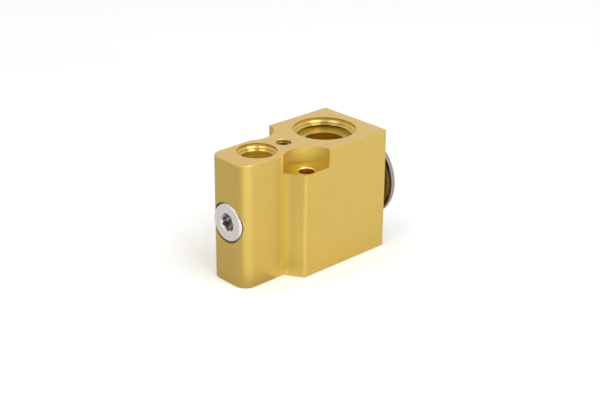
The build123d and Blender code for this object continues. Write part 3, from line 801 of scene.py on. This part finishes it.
rim_weld = new_piece("rim_weld", weld_bead, weld_steel(), "block")

# Camera, at the photograph's angle: it looks down on the plug's end and the flank with the near
# pocket. Its angles, distance and lens were fitted to the block's corners in the photograph.
camera_azimuth = math.radians(-43.35)
camera_elevation = math.radians(23.95)
camera_roll = math.radians(0.477)
camera_distance = 508.8 * mm
camera_lens, camera_sensor = 78.26, 36
camera_near, camera_far = 0.01, 10
aim = Vector((5.4, 0, 25.0)) * mm
aim_right, aim_up = -2.81 * mm, 0.63 * mm

camera = bpy.data.objects.new("camera", bpy.data.cameras.new("camera"))
bpy.context.scene.collection.objects.link(camera)
bpy.context.scene.camera = camera
camera.data.lens = camera_lens
camera.data.sensor_width = camera_sensor
camera.data.clip_start, camera.data.clip_end = camera_near, camera_far
camera.rotation_mode = "QUATERNION"
level = math.cos(camera_elevation)
backwards = Vector(
    (
        math.sin(camera_azimuth) * level,
        -math.cos(camera_azimuth) * level,
        math.sin(camera_elevation),
    )
)
level_right = Vector((0, 0, 1)).cross(backwards).normalized()
level_up = backwards.cross(level_right)
right = math.cos(camera_roll) * level_right + math.sin(camera_roll) * level_up
up = math.cos(camera_roll) * level_up - math.sin(camera_roll) * level_right
camera.location = aim - aim_right * right - aim_up * up + camera_distance * backwards
camera.rotation_quaternion = Matrix((right, up, backwards)).transposed().to_quaternion()

# Studio: a white table that keeps a faint shadow, a tall strip lamp and two large soft ones, and
# a white room. The cards and the ceiling show only in the metal's reflections: grey ones off the
# plug's end and behind, pale ones off the near flank. They tone the faces as photographed.
table_half = 3.0
table_gap = 0.05 * mm
table_z = body_low.z - table_gap
card_z = table_z + table_gap / 2
card_top, ceiling_z = 0.5, 1.3
room_light = 0.66


def seen_or_mirrored(tree):
    """1 for what the camera sees, straight or in metal and glass, 0 for the light that falls."""
    ray = tree.nodes.new("ShaderNodeLightPath").outputs
    mirrored = maths(tree, "MAXIMUM", ray["Is Glossy Ray"], ray["Is Transmission Ray"])
    return maths(tree, "MAXIMUM", ray["Is Camera Ray"], mirrored)


def stage_panel(name, corners, shade, glow=0.0):
    """A flat matt panel of the studio, which looks brighter than it is by its glow."""
    mesh = bpy.data.meshes.new(name)
    mesh.from_pydata(corners, [], [range(len(corners))])
    material, tree, shader = new_finish(name, (shade, shade, shade), 0.9, metallic=0.0)[:3]
    shader.inputs["Emission Color"].default_value = (1, 1, 1, 1)
    emission = maths(tree, "MULTIPLY", seen_or_mirrored(tree), glow)
    feed(tree, emission, shader.inputs["Emission Strength"])
    mesh.materials.append(material)
    panel = bpy.data.objects.new(name, mesh)
    bpy.context.scene.collection.objects.link(panel)
    return panel


def card(name, corners, shade, glow=0.0):
    """A panel that shows in the reflections in metal alone."""
    panel = stage_panel(name, corners, shade, glow)
    panel.visible_camera = False
    panel.visible_diffuse = False
    panel.visible_shadow = False


def at_height(outline, z):
    """Corners of a level outline at this height."""
    return [(x, y, z) for x, y in outline]


square = ((-1, -1), (1, -1), (1, 1), (-1, 1))
table_outline = [(x * table_half, y * table_half) for x, y in square]
stage_panel("white_table", at_height(table_outline, table_z), 0.93, glow=0.12)

standing_line = ((-0.34, -0.10), (-0.10, 0.42))
standing_corners = at_height(standing_line, 0) + at_height(standing_line[::-1], card_top)
card("standing_card", standing_corners, 0.9)
grey_outline = (
    (-0.012, 0.0),
    (-0.012, -0.019),
    (-0.038, -0.015),
    (-0.10, -0.047),
    (-0.34, -0.18),
    (-0.10, 0.42),
)
card("grey_card", at_height(grey_outline, card_z), 0.64)
rear_outline = ((-0.02, 0.03), (0.06, 0.03), (0.12, 0.30), (-0.05, 0.30))
card("rear_card", at_height(rear_outline, card_z), 0.45)
pale_outline = ((-0.02, -0.02), (0.10, -0.40), (0.50, -0.20), (0.06, 0.0))
card("pale_card", at_height(pale_outline, card_z), 0.93)
ceiling_outline = ((-0.9, -0.9), (0.7, -0.9), (0.7, 0.7), (-0.9, 0.7))
card("ceiling", at_height(ceiling_outline, ceiling_z), 0.4)
bright_outline = ((-0.05, -0.036), (-0.34, -0.185), (-0.16, -0.42), (-0.01, -0.045))
card("bright_card", at_height(bright_outline, card_z), 0.93, glow=0.16)

world = bpy.data.worlds.new("white_room")
bpy.context.scene.world = world
world.use_nodes = True
room = world.node_tree
background = room.nodes["Background"].inputs
background["Color"].default_value = (1, 1, 1, 1)
feed(room, blended(room, seen_or_mirrored(room), room_light, 1.0), background["Strength"])


def softbox(name, place, width, height, watts):
    """A lamp that faces the valve."""
    light = bpy.data.lights.new(name, "AREA")
    light.shape = "RECTANGLE"
    light.size, light.size_y = width, height
    light.energy = watts
    lamp = bpy.data.objects.new(name, light)
    lamp.location = place
    lamp.rotation_mode = "QUATERNION"
    lamp.rotation_quaternion = (Vector(place) - aim).to_track_quat("Z", "Y")
    lamp.visible_camera = False
    bpy.context.scene.collection.objects.link(lamp)


softbox("lamp_front", place=(-0.22, -0.95, 0.32), width=0.18, height=0.60, watts=1.4)
softbox("lamp_right", place=(0.09, -0.50, 0.91), width=0.55, height=0.55, watts=3.0)
softbox("lamp_left", place=(-0.50, 0.06, 0.91), width=0.55, height=0.55, watts=2.0)

bpy.context.scene.view_settings.view_transform = "Standard"
